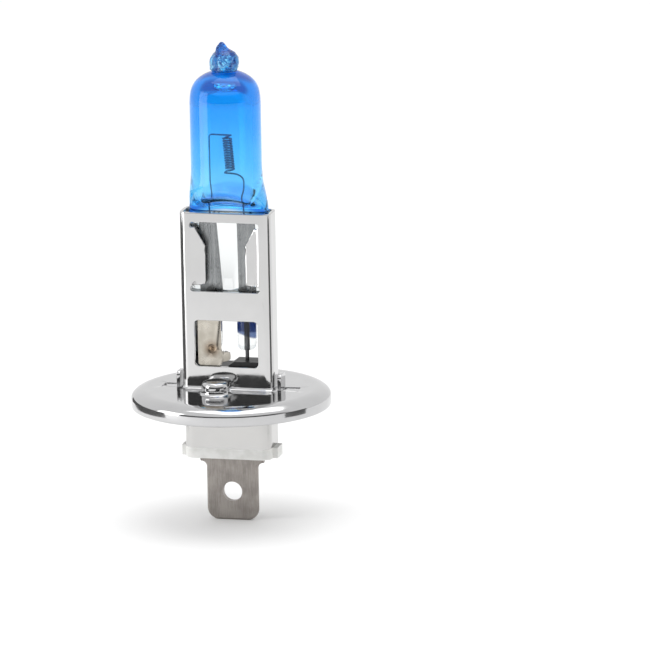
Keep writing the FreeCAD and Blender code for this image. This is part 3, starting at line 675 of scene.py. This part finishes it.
def sleeve_pattern():
    """The flat pattern with its windows cut out, and cut wherever it is going to bend."""
    back_middle = 2 * HALF_LENGTH
    start, end = -HALF_LENGTH, back_middle + HALF_LENGTH
    work = bmesh.new()
    corners = [(start, SLEEVE_FOOT), (end, SLEEVE_FOOT), (end, SLEEVE_HEAD), (start, SLEEVE_HEAD)]
    edges = add_loop(work, corners)[1]
    half_height = (LOWER_WINDOW[1] - LOWER_WINDOW[0]) / 2
    lower = rounded_rectangle(WINDOW_HALF, half_height, WINDOW_CORNER, 5)
    lower = [(x, y + LOWER_MIDDLE) for x, y in lower]
    for shift in (0, back_middle):
        for outline in (lower, mirrored(upper_window())):
            edges += add_loop(work, [(x + shift, y) for x, y in outline])[1]
    bmesh.ops.triangle_fill(work, use_beauty=True, edges=edges, normal=(0, 0, 1))
    folds = [0, back_middle]
    for sign in (-1, 1):
        for shift in (0, back_middle):
            for i in range(FLAP_LINES):
                folds.append(shift + sign * (FLAP_LINES_START + FLAP_LINES_STEP * i))
    for fold in (-FLAT - BEND, FLAT, FLAT + BEND + SIDE, back_middle + FLAT):
        folds += [fold + BEND * i / BEND_STEPS for i in range(BEND_STEPS + 1)]
    cut_along(work, "x", folds)
    cut_along(work, "y", END_ROWS)
    spacing = (FLAP_HEAD - FLAP_FOOT) / (FLAP_LINES - 1)
    cut_along(work, "y", [LOWER_MIDDLE] + [FLAP_FOOT + spacing * i for i in range(FLAP_LINES)])
    bmesh.ops.remove_doubles(work, verts=work.verts, dist=0.012)
    join_spare(work)
    return work


def make_sleeve():
    """One bent sheet: the flat pattern is cut out, its flaps are pressed in, and it is wrapped."""
    work = sleeve_pattern()
    for vert in work.verts:
        along, z = vert.co.x, vert.co.y
        on_front = along < FLAT + BEND
        dent = flap_dent(along if on_front else along - 2 * HALF_LENGTH, z)
        vert.co = wrapped(along, z, dent)
    bmesh.ops.remove_doubles(work, verts=work.verts, dist=0.004)
    face_outwards(work)
    sideways = Vector((1, 1, 0))
    if sum(face.normal.dot(face.calc_center_median() * sideways) for face in work.faces) < 0:
        bmesh.ops.reverse_faces(work, faces=work.faces)
    work = face_outwards(thickened(work, SLEEVE_SHEET))
    metal = polished_metal("bright_nickel", (0.615, 0.613, 0.612), 0.07)
    soften(finish_piece("sleeve_shell", work, [metal], "holder_sleeve"), 0.06)


def join_spare(work):
    """Joins the flat pattern's triangles again wherever no fold or hole needs a cut."""

    def across(vert):
        return abs(vert.co.x if vert.co.x < HALF_LENGTH else vert.co.x - 2 * HALF_LENGTH)

    def is_bent(vert):
        on_corner = FLAT + TINY < across(vert) < FLAT + BEND - TINY
        by_flap = FLAP_LINES_START - 0.1 < across(vert) < WINDOW_HALF + 0.45
        return on_corner or (by_flap and FLAP_FOOT - 0.2 < vert.co.y < FLAP_HEAD + 0.1)

    def is_spare(edge):
        a, b = edge.verts
        if len(edge.link_faces) != 2 or is_bent(a) or is_bent(b):
            return False
        level = abs(a.co.y - b.co.y) < TINY
        if level and any(abs(a.co.y - row) < TINY for row in (LOWER_MIDDLE, *END_ROWS)):
            return False
        upright = abs(a.co.x - b.co.x) < TINY
        folds = (0, FLAT, FLAT + BEND)
        return not (upright and any(abs(across(a) - fold) < TINY for fold in folds))

    spare = [edge for edge in work.edges if is_spare(edge)]
    bmesh.ops.dissolve_edges(work, edges=spare, use_verts=False, use_face_split=False)

    def is_straight(vert):
        if len(vert.link_edges) != 2 or is_bent(vert):
            return False
        ahead, behind = (edge.other_vert(vert).co - vert.co for edge in vert.link_edges)
        return ahead.angle(behind, 0) > math.radians(179.7)

    bmesh.ops.dissolve_verts(work, verts=[vert for vert in work.verts if is_straight(vert)])


def wrapped(along, z, dent):
    """Where a point of the sleeve's flat pattern goes once the sheet is wrapped round."""
    back = along > HALF_LENGTH
    if back:
        along -= 2 * HALF_LENGTH
    sign = math.copysign(1, along)
    reach = abs(along)
    corner_y = -SLEEVE_HALF_DEPTH + SLEEVE_CORNER
    if reach <= FLAT:
        x, y = reach, -SLEEVE_HALF_DEPTH + dent
    elif reach <= FLAT + BEND:
        angle = (reach - FLAT) / SLEEVE_CORNER
        x = FLAT + SLEEVE_CORNER * math.sin(angle)
        y = corner_y - SLEEVE_CORNER * math.cos(angle)
    else:
        x, y = SLEEVE_HALF_WIDTH, corner_y + reach - FLAT - BEND
    if back:
        return Vector((-sign * x, -y, z))
    return Vector((sign * x, y, z))


# ---------------------------------------------------------------- flange

FLANGE_RADIUS, FLANGE_SHEET = 12.0, 0.5
FLAT_RADIUS, RIM_START, RIM_DROP = 9.4, 10.0, 1.08
DISC_STEPS, RIM_STEPS, COLLAR_STEPS, CORNER_STEPS = 192, 24, 8, 8
# The skirt below the rolled rim, as (radius, height).
SKIRT = [(FLANGE_RADIUS, -1.5), (FLANGE_RADIUS, -1.92), (11.97, -2.05), (11.9, -2.14)]
SKIRT += [(11.78, -2.19)]
COLLAR_GAP, COLLAR_RISE, COLLAR_SPREAD = 0.03, 0.4, 0.62
EAR_HALF, EAR_RISE, EAR_SHEET, EAR_CORNER, EAR_FOOT = 1.1, 1.9, 0.45, 0.5, -0.3
EAR_INNER = SLEEVE_HALF_WIDTH + 0.4
EAR_SLOT_CORNER = 0.25
BOSS_PLACE, BOSS_STEPS = (-0.9, -3.7), 64
# The boss's outside and the hollow under it, as (radius, height).
BOSS_OUTSIDE = [(2.15, -0.02), (1.96, 0.05), (1.82, 0.2), (1.75, 0.45), (1.72, 0.95)]
BOSS_OUTSIDE += [(1.62, 1.25), (1.38, 1.49), (0.95, 1.61), (0.45, 1.65)]
BOSS_INSIDE = [(0.4, 1.2), (0.9, 1.15), (1.2, 0.85), (1.25, 0.3), (1.27, -0.3), (1.75, -0.3)]
BOSS_TIP, BOSS_INSIDE_TIP, BOSS_HOLE_RADIUS = 1.66, 1.21, 1.2
# The slit in the boss's face: half its width, its low and high edges, and its place and depth.
SLIT_HALF, SLIT_LOW, SLIT_HIGH, SLIT_FORWARD, SLIT_DEPTH = 0.85, 0.54, 0.9, 1.6, 2.0


def ring_between(work, inner, outer):
    """Quads between two loops of the same number of points."""
    for i in range(len(inner)):
        j = (i + 1) % len(inner)
        work.faces.new((inner[i], outer[i], outer[j], inner[j]))


def circle(radius, steps, centre=(0, 0)):
    return arc(centre, radius, 0, 360 - 360 / steps, steps - 1)


def collar_outline(gap):
    """The sleeve's outline, grown by a gap all round."""
    return rounded_rectangle(
        SLEEVE_HALF_WIDTH + gap, SLEEVE_HALF_DEPTH + gap, SLEEVE_CORNER + gap, CORNER_STEPS
    )


def make_disc():
    """The pressed disc: flat top, rolled rim, the collar drawn up round the sleeve, ear slots."""
    work = bmesh.new()
    rim, edges = add_loop(work, circle(FLAT_RADIUS, DISC_STEPS))
    spread = COLLAR_GAP + COLLAR_SPREAD
    collar_foot, collar_edges = add_loop(work, collar_outline(spread))
    edges += collar_edges
    slot_start, slot_end = EAR_INNER + EAR_SHEET + 0.02, EAR_INNER + EAR_SHEET + EAR_RISE
    middle, half = (slot_start + slot_end) / 2, (slot_end - slot_start) / 2
    slot = rounded_rectangle(half, EAR_HALF, EAR_SLOT_CORNER, 4)
    slot = [(x + middle, y) for x, y in slot]
    edges += add_loop(work, slot)[1]
    edges += add_loop(work, [(-x, y) for x, y in slot])[1]
    edges += add_loop(work, circle(BOSS_HOLE_RADIUS, HOLE_STEPS, BOSS_PLACE))[1]
    bmesh.ops.triangle_fill(work, use_beauty=True, edges=edges, normal=(0, 0, 1))
    drop = [(RIM_START, 0.0)]
    for i in range(1, RIM_STEPS + 1):
        angle = math.radians(90 * i / RIM_STEPS)
        across = RIM_START + (FLANGE_RADIUS - RIM_START) * math.sin(angle)
        drop.append((across, -RIM_DROP * (1 - math.cos(angle))))
    loop = rim
    for radius, height in drop + SKIRT:
        outer = [work.verts.new((x, y, height)) for x, y in circle(radius, DISC_STEPS)]
        ring_between(work, loop, outer)
        loop = outer
    loop = collar_foot
    for i in range(1, COLLAR_STEPS + 1):
        angle = i / COLLAR_STEPS * math.pi / 2
        gap = spread - COLLAR_SPREAD * math.sin(angle)
        height = COLLAR_RISE * (1 - math.cos(angle))
        inner = [work.verts.new((x, y, height)) for x, y in collar_outline(gap)]
        ring_between(work, inner, loop)
        loop = inner
    face_outwards(work)
    if sum(face.normal.z * face.calc_area() for face in work.faces) < 0:
        bmesh.ops.reverse_faces(work, faces=work.faces)
    return thickened(work, FLANGE_SHEET)


def add_ears(work):
    """Two lugs bent up from the disc beside the sleeve, each from its own slot."""
    rounding = arc((EAR_HALF - EAR_CORNER, EAR_RISE - EAR_CORNER), EAR_CORNER, 0, 90, 6)
    outline = mirrored([(EAR_HALF, EAR_FOOT)] + rounding)
    for side in (-1, 1):
        loops = []
        for across in (EAR_INNER, EAR_INNER + EAR_SHEET):
            loops.append([work.verts.new((side * across, y, z)) for y, z in outline])
            work.faces.new(loops[-1])
        ring_between(work, *loops)


def make_boss():
    """The lanced dome in front of the sleeve, hollow, with a slit in its face."""
    outside = smooth_line(BOSS_OUTSIDE, 3)
    work = bmesh.new()
    loops = []
    for radius, z in outside + BOSS_INSIDE:
        places = circle(radius, BOSS_STEPS, BOSS_PLACE)
        loops.append([work.verts.new((x, y, z)) for x, y in places])
    walls = (loops[: len(outside)], loops[len(outside) :])
    for wall in walls:
        for low, high in zip(wall, wall[1:]):
            ring_between(work, low, high)
    ring_between(work, loops[-1], loops[0])
    for loop, height in ((walls[0][-1], BOSS_TIP), (walls[1][0], BOSS_INSIDE_TIP)):
        tip = work.verts.new((*BOSS_PLACE, height))
        for i in range(BOSS_STEPS):
            work.faces.new((loop[i], loop[(i + 1) % BOSS_STEPS], tip))
    face_outwards(work)
    cutter = bmesh.new()
    bmesh.ops.create_cube(cutter, size=1)
    size = Vector((2 * SLIT_HALF, SLIT_DEPTH, SLIT_HIGH - SLIT_LOW))
    middle = (SLIT_LOW + SLIT_HIGH) / 2
    centre = Vector((BOSS_PLACE[0], BOSS_PLACE[1] - SLIT_FORWARD, middle))
    for vert in cutter.verts:
        vert.co = vert.co * size + centre
    return joined(work, [cutter], "DIFFERENCE")


def make_flange():
    work = merged(make_disc(), make_boss())
    add_ears(work)
    face_outwards(work)
    metal = polished_metal(
        "polished_flange", (0.56, 0.56, 0.565), 0.09, wave_mm=9.0, wave_depth=0.006
    )
    soften(finish_piece("flange_shell", work, [metal], "flange_disc"), 0.05)


# ---------------------------------------------------------------- wires and coil


def tube(work, points, radius, steps):
    """A round wire along points, with its section carried smoothly and its ends closed."""
    points = [Vector(point) for point in points]
    ahead = (points[1] - points[0]).normalized()
    side = ahead.orthogonal().normalized()
    rings = []
    for i, point in enumerate(points):
        before, after = points[max(i - 1, 0)], points[min(i + 1, len(points) - 1)]
        turned = (after - before).normalized()
        side = ahead.rotation_difference(turned) @ side
        ahead = turned
        side = (side - ahead * side.dot(ahead)).normalized()
        other = ahead.cross(side)
        ring = []
        for j in range(steps):
            angle = 2 * math.pi * j / steps
            ring.append(point + radius * (side * math.cos(angle) + other * math.sin(angle)))
        rings.append(ring)
    bridge_rings(work, rings)


COIL_MIDDLE, COIL_TILT, COIL_RADIUS, COIL_WIRE = (0.3, 28.55), 4.3, 0.49, 0.115
COIL_LENGTH, COIL_TURNS, COIL_START = 3.9, 13, -2.2
TURN_STEPS = 28
# The coil's lower tail, and where its upper tail meets the long lead.
COIL_TAIL, COIL_END = [(-0.16, 0.05, 26.25), (-0.14, -0.2, 26.33)], (0.62, 0.0, 30.85)
LEAD_WIRE = 0.1
# The inner leads above their feet, as (across, height).
LONG_LEAD = [(-2.1, 24.0), (-2.1, 28.0), (-2.1, 30.3), (-2.07, 30.62), (-1.95, 30.8)]
LONG_LEAD += [(-1.7, 30.87), (-1.0, 30.86), (0.0, 30.85), (0.7, 30.84)]
SHORT_LEAD = [(2.1, 23.0), (2.1, 24.9), (2.07, 25.3), (1.93, 25.65), (1.66, 25.9)]
SHORT_LEAD += [(1.2, 26.1), (0.6, 26.18), (-0.25, 26.22)]


def make_filament(metal):
    """A close-wound coil leaning a little, whose tails run on to the two inner leads."""
    tilt = math.radians(-COIL_TILT)
    points = list(COIL_TAIL)
    for i in range(COIL_TURNS * TURN_STEPS + 1):
        turn = i / TURN_STEPS
        angle = 2 * math.pi * turn + COIL_START
        height = COIL_LENGTH * (turn / COIL_TURNS - 0.5)
        across, along = COIL_RADIUS * math.cos(angle), COIL_RADIUS * math.sin(angle)
        x = across * math.cos(tilt) + height * math.sin(tilt)
        z = height * math.cos(tilt) - across * math.sin(tilt)
        points.append((COIL_MIDDLE[0] + x, along, COIL_MIDDLE[1] + z))
    last = points[-1]
    points += [(last[0] + 0.12, last[1] * 0.5, last[2] + 0.1), COIL_END]
    work = bmesh.new()
    tube(work, points, COIL_WIRE, 10)
    finish_piece("filament", work, [metal], "filament_coil")


def make_lead_ins(metal):
    """The two inner leads that hold the coil, each bent from straight wire."""
    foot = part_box("lead_in_long")[0][2] / MM
    for name, node, path in (
        ("lead_wire_long", "lead_in_long", LONG_LEAD),
        ("lead_wire_short", "lead_in_short", SHORT_LEAD),
    ):
        work = bmesh.new()
        line = smooth_line([(path[0][0], foot)] + path, 6)
        tube(work, [(x, 0, z) for x, z in line], LEAD_WIRE, 14)
        finish_piece(name, work, [metal], node)


# ---------------------------------------------------------------- ground plate

PLATE_LEFT, PLATE_RIGHT, PLATE_CORNER, PLATE_SHEET = -3.6, -0.75, 0.34, 0.26
TONGUE_CORNER, TONGUE_CURL, TONGUE_LINES = 0.5, 0.42, 11
WELD_RADIUS = 0.62
# The weld's dimple as (radius, depth).
WELD_DIMPLE = [(0.5, 0.025), (0.4, 0.075), (0.3, 0.1), (0.22, 0.08), (0.13, 0.03), (0.05, 0.01)]


def plate_outline(foot, head, tongue_end):
    """The plate's outline, with a rounded tongue at the right of its foot."""
    left, right, corner = PLATE_LEFT, PLATE_RIGHT, PLATE_CORNER
    low, high = foot + 0.5, foot + 1.75
    outline = arc((left + corner, foot + corner), corner, 180, 270, 5)
    outline += [(right - 0.25, foot), (right, foot + 0.2), (right + 0.08, low - 0.08)]
    outline += [(right + 0.3, low)]
    across = tongue_end - TONGUE_CORNER
    outline += arc((across, low + TONGUE_CORNER), TONGUE_CORNER, 270, 360, 6)
    outline += arc((across, high - TONGUE_CORNER), TONGUE_CORNER, 0, 90, 6)
    outline += [(right + 0.3, high), (right + 0.08, high + 0.08), (right, high + 0.3)]
    outline += arc((right - corner, head - corner), corner, 0, 90, 5)
    outline += arc((left + corner, head - corner), corner, 90, 180, 5)
    return outline, high


def make_plate():
    """The plate behind the lower window: a weld dimple, and a tongue curled back at its foot."""
    low, high = box_mm("ground_weld_plate")
    front, tongue_end = low[1], high[0]
    tongue_run = tongue_end - PLATE_RIGHT
    outline, tongue_head = plate_outline(low[2], high[2], tongue_end)
    weld = (WELD_ACROSS, WELD_RISE)
    work = bmesh.new()
    edges = add_loop(work, outline)[1]
    loop, dimple_edges = add_loop(work, circle(WELD_RADIUS, HOLE_STEPS, weld))
    bmesh.ops.triangle_fill(work, use_beauty=True, edges=edges + dimple_edges, normal=(0, 0, 1))
    spacing = tongue_run / (TONGUE_LINES - 1)
    cut_along(work, "x", [PLATE_RIGHT + spacing * i for i in range(TONGUE_LINES)])
    for radius, depth in WELD_DIMPLE:
        places = circle(radius, HOLE_STEPS, weld)
        inner = [work.verts.new((x, y, -depth)) for x, y in places]
        ring_between(work, inner, loop)
        loop = inner
    work.faces.new(loop)
    for vert in work.verts:
        x, z, depth = vert.co
        on_tongue = z < tongue_head + 0.1
        curl = TONGUE_CURL * smooth_step((x - PLATE_RIGHT) / tongue_run) if on_tongue else 0
        vert.co = Vector((x, front - depth + curl, z))
    face_outwards(work)
    if sum(face.normal.y * face.calc_area() for face in work.faces) > 0:
        bmesh.ops.reverse_faces(work, faces=work.faces)
    work = face_outwards(thickened(work, PLATE_SHEET))
    plate = finish_piece("weld_plate", work, [plate_metal()], "ground_weld_plate")
    soften(plate, 0.04)


# ---------------------------------------------------------------- carried-over CAD nodes


def dress(node, material, bevel_mm):
    """Gives a CAD node its material and, unless it is thin foil or wire, soft edges."""
    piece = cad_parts[node]
    piece.data.materials.clear()
    piece.data.materials.append(material)
    if bevel_mm:
        add_bevel(piece, bevel_mm, 40)


def dress_nodes():
    blade = satin_metal("blade_strip", (0.30, 0.275, 0.255), (0.40, 0.37, 0.345), 0.42)
    plated = polished_metal(
        "plated_steel", (0.56, 0.555, 0.545), 0.13, wave_mm=3.5, wave_depth=0.006
    )
    black = moulded("black_moulding", (0.008, 0.008, 0.009), (0.022, 0.022, 0.023), 0.45)
    white = moulded("fired_ceramic", (0.80, 0.80, 0.77), (0.90, 0.90, 0.88), 0.55)
    # The wire's blue cast is painted: it stands in for light reaching the coil through the blue
    # coating.
    wire_painted_blue = satin_metal("tungsten_painted_blue", (0.14, 0.18, 0.25), (0.26, 0.31, 0.38), 0.35)
    dark, light = (0.24, 0.245, 0.25), (0.33, 0.335, 0.34)
    foil = satin_metal("molybdenum_foil", dark, light, 0.25, grain=(1, 1, 40), grain_mm=0.3)
    lead = satin_metal("lead_wire", (0.05, 0.05, 0.055), (0.12, 0.12, 0.125), 0.35)
    for node, material, bevel_mm in (
        ("base_shell", plated, 0.05),
        ("ceramic_insulator", white, 0.08),
        ("inner_insulator", black, 0.08),
        ("terminal_blade", blade, 0.03),
        ("foil_ground", foil, 0),
        ("foil_hot", foil, 0),
        ("lead_out_hot", lead, 0),
        ("lead_out_ground", lead, 0),
    ):
        dress(node, material, bevel_mm)
    make_filament(wire_painted_blue)
    make_lead_ins(wire_painted_blue)


# ---------------------------------------------------------------- floor, light and camera


FLOOR_RADIUS = 1.6
# How bright the world is: (least, most) and where the fades between them start and end.
BEHIND, BEHIND_FADE = (0.07, 0.95), (-0.45, 0.05)
ABOVE, ABOVE_FADE = (0.0, 0.95), (0.27, 0.5)
BACKDROP, THROUGH_GLASS = 1.0, 0.5
# Dark cards beside the bulb, in mm: name, start and end on the floor, height.
FLAGS = [("left_flag", (-62, -34), (-62, 60), 8), ("right_flag", (66, -20), (66, 14), 8)]
# The camera's place in degrees and metres, and what it aims at, in metres.
AZIMUTH, ELEVATION, ROLL, DISTANCE = 14.18, 12.87, -1.084, 1.2
AIM_ACROSS, AIM_HEIGHT = 0.011378, 0.007356
FOCAL_SHARE, SENSOR_MM = 10040.9 / 650, 36.0


def stage_mesh(name, work, **surface):
    """A plain matte object of the studio, which isn't a piece of the bulb."""
    mesh = bpy.data.meshes.new(name)
    work.to_mesh(mesh)
    work.free()
    item = bpy.data.objects.new(name, mesh)
    bpy.context.scene.collection.objects.link(item)
    nodes = Nodes(name + "_matte")
    nodes.set(Roughness=0.9, **surface)
    mesh.materials.append(nodes.material)
    return item


def make_floor():
    work = bmesh.new()
    bmesh.ops.create_circle(work, cap_ends=True, segments=96, radius=FLOOR_RADIUS)
    pale = (0.93, 0.93, 0.93, 1)
    stage_mesh("floor", work, Base_Color=pale, Specular_IOR_Level=0.1).location.z = cad_box[0][2]


def add_softbox(name, place, aim, size, power):
    light = bpy.data.lights.new(name, "AREA")
    light.shape = "RECTANGLE"
    light.size, light.size_y = size
    light.energy = power
    lamp = bpy.data.objects.new(name, light)
    lamp.location = place
    lamp.rotation_euler = (Vector(aim) - Vector(place)).to_track_quat("-Z", "Y").to_euler()
    lamp.visible_camera = False
    bpy.context.scene.collection.objects.link(lamp)


def make_light():
    """A pale studio: white behind, below and above the bulb, darker on the camera's side."""
    world = bpy.data.worlds.new("studio")
    bpy.context.scene.world = world
    world.use_nodes = True
    tree = world.node_tree
    background = tree.nodes["Background"]
    background.inputs["Color"].default_value = (1, 1, 1, 1)
    place = tree.nodes.new("ShaderNodeTexCoord").outputs["Generated"]
    split = tree.nodes.new("ShaderNodeSeparateXYZ")
    tree.links.new(place, split.inputs["Vector"])
    path = tree.nodes.new("ShaderNodeLightPath")

    def fade(socket, between, values):
        node = tree.nodes.new("ShaderNodeMapRange")
        node.interpolation_type = "SMOOTHSTEP"
        names = ("From Min", "From Max", "To Min", "To Max")
        for name, value in zip(names, between + values):
            node.inputs[name].default_value = value
        tree.links.new(socket, node.inputs["Value"])
        return node.outputs["Result"]

    def brighter(first, second):
        node = tree.nodes.new("ShaderNodeMath")
        node.operation = "MAXIMUM"
        tree.links.new(first, node.inputs[0])
        tree.links.new(second, node.inputs[1])
        return node.outputs[0]

    behind = fade(split.outputs["Y"], BEHIND_FADE, BEHIND)
    above = fade(split.outputs["Z"], ABOVE_FADE, ABOVE)
    mix = tree.nodes.new("ShaderNodeMix")
    mix.data_type = "FLOAT"
    tree.links.new(path.outputs["Is Camera Ray"], mix.inputs["Factor"])
    tree.links.new(brighter(behind, above), mix.inputs["A"])
    mix.inputs["B"].default_value = BACKDROP
    through = tree.nodes.new("ShaderNodeMath")
    through.operation = "MULTIPLY"
    through.inputs[1].default_value = THROUGH_GLASS
    tree.links.new(path.outputs["Is Transmission Ray"], through.inputs[0])
    lifted = brighter(mix.outputs["Result"], through.outputs[0])
    tree.links.new(lifted, background.inputs["Strength"])
    add_softbox("top", (0.05, 0.05, 0.55), (0, 0, 0), (0.5, 0.5), 1.2)
    add_softbox("left_card", (-0.105, -0.058, 0.035), (0, 0, 0.035), (0.07, 0.11), 0.06)


def make_flags():
    """Dark cards that only reflections see: they draw the dark lines along the bright metal."""
    floor = cad_box[0][2] / MM
    for name, start, end, head in FLAGS:
        corners = [(*start, floor), (*end, floor), (*end, head), (*start, head)]
        work = bmesh.new()
        work.faces.new([work.verts.new([value * MM for value in corner]) for corner in corners])
        dark = (0.13, 0.13, 0.13, 1)
        card = stage_mesh(name, work, Base_Color=dark, Specular_IOR_Level=0.0)
        card.visible_camera = False
        card.visible_diffuse = False
        card.visible_transmission = False
        card.visible_shadow = False


def make_camera():
    """A long lens, a little above the flange, with the bulb left of the middle."""
    azimuth, elevation, roll = (math.radians(value) for value in (AZIMUTH, ELEVATION, ROLL))
    right = Vector((math.cos(azimuth), math.sin(azimuth), 0))
    back = Vector(
        (
            math.sin(azimuth) * math.cos(elevation),
            -math.cos(azimuth) * math.cos(elevation),
            math.sin(elevation),
        )
    )
    up = back.cross(right)
    turned_right = right * math.cos(roll) + up * math.sin(roll)
    turned_up = up * math.cos(roll) - right * math.sin(roll)
    aim = right * AIM_ACROSS + Vector((0, 0, AIM_HEIGHT))
    data = bpy.data.cameras.new("camera")
    data.sensor_width = SENSOR_MM
    data.lens = FOCAL_SHARE * SENSOR_MM
    data.clip_start, data.clip_end = 0.05, 10
    camera = bpy.data.objects.new("camera", data)
    axes = Matrix((turned_right, turned_up, back)).transposed().to_4x4()
    camera.matrix_world = Matrix.Translation(aim + back * DISTANCE) @ axes
    bpy.context.scene.collection.objects.link(camera)
    bpy.context.scene.camera = camera


bpy.context.scene.view_settings.view_transform = "Standard"
# Light crosses many walls in the foot of the glass, which goes black where the bounces run out.
for bounces in ("max_bounces", "transmission_bounces", "glossy_bounces"):
    setattr(bpy.context.scene.cycles, bounces, 32)
make_quartz()
make_sleeve()
make_flange()
make_plate()
dress_nodes()
make_floor()
make_light()
make_flags()
make_camera()
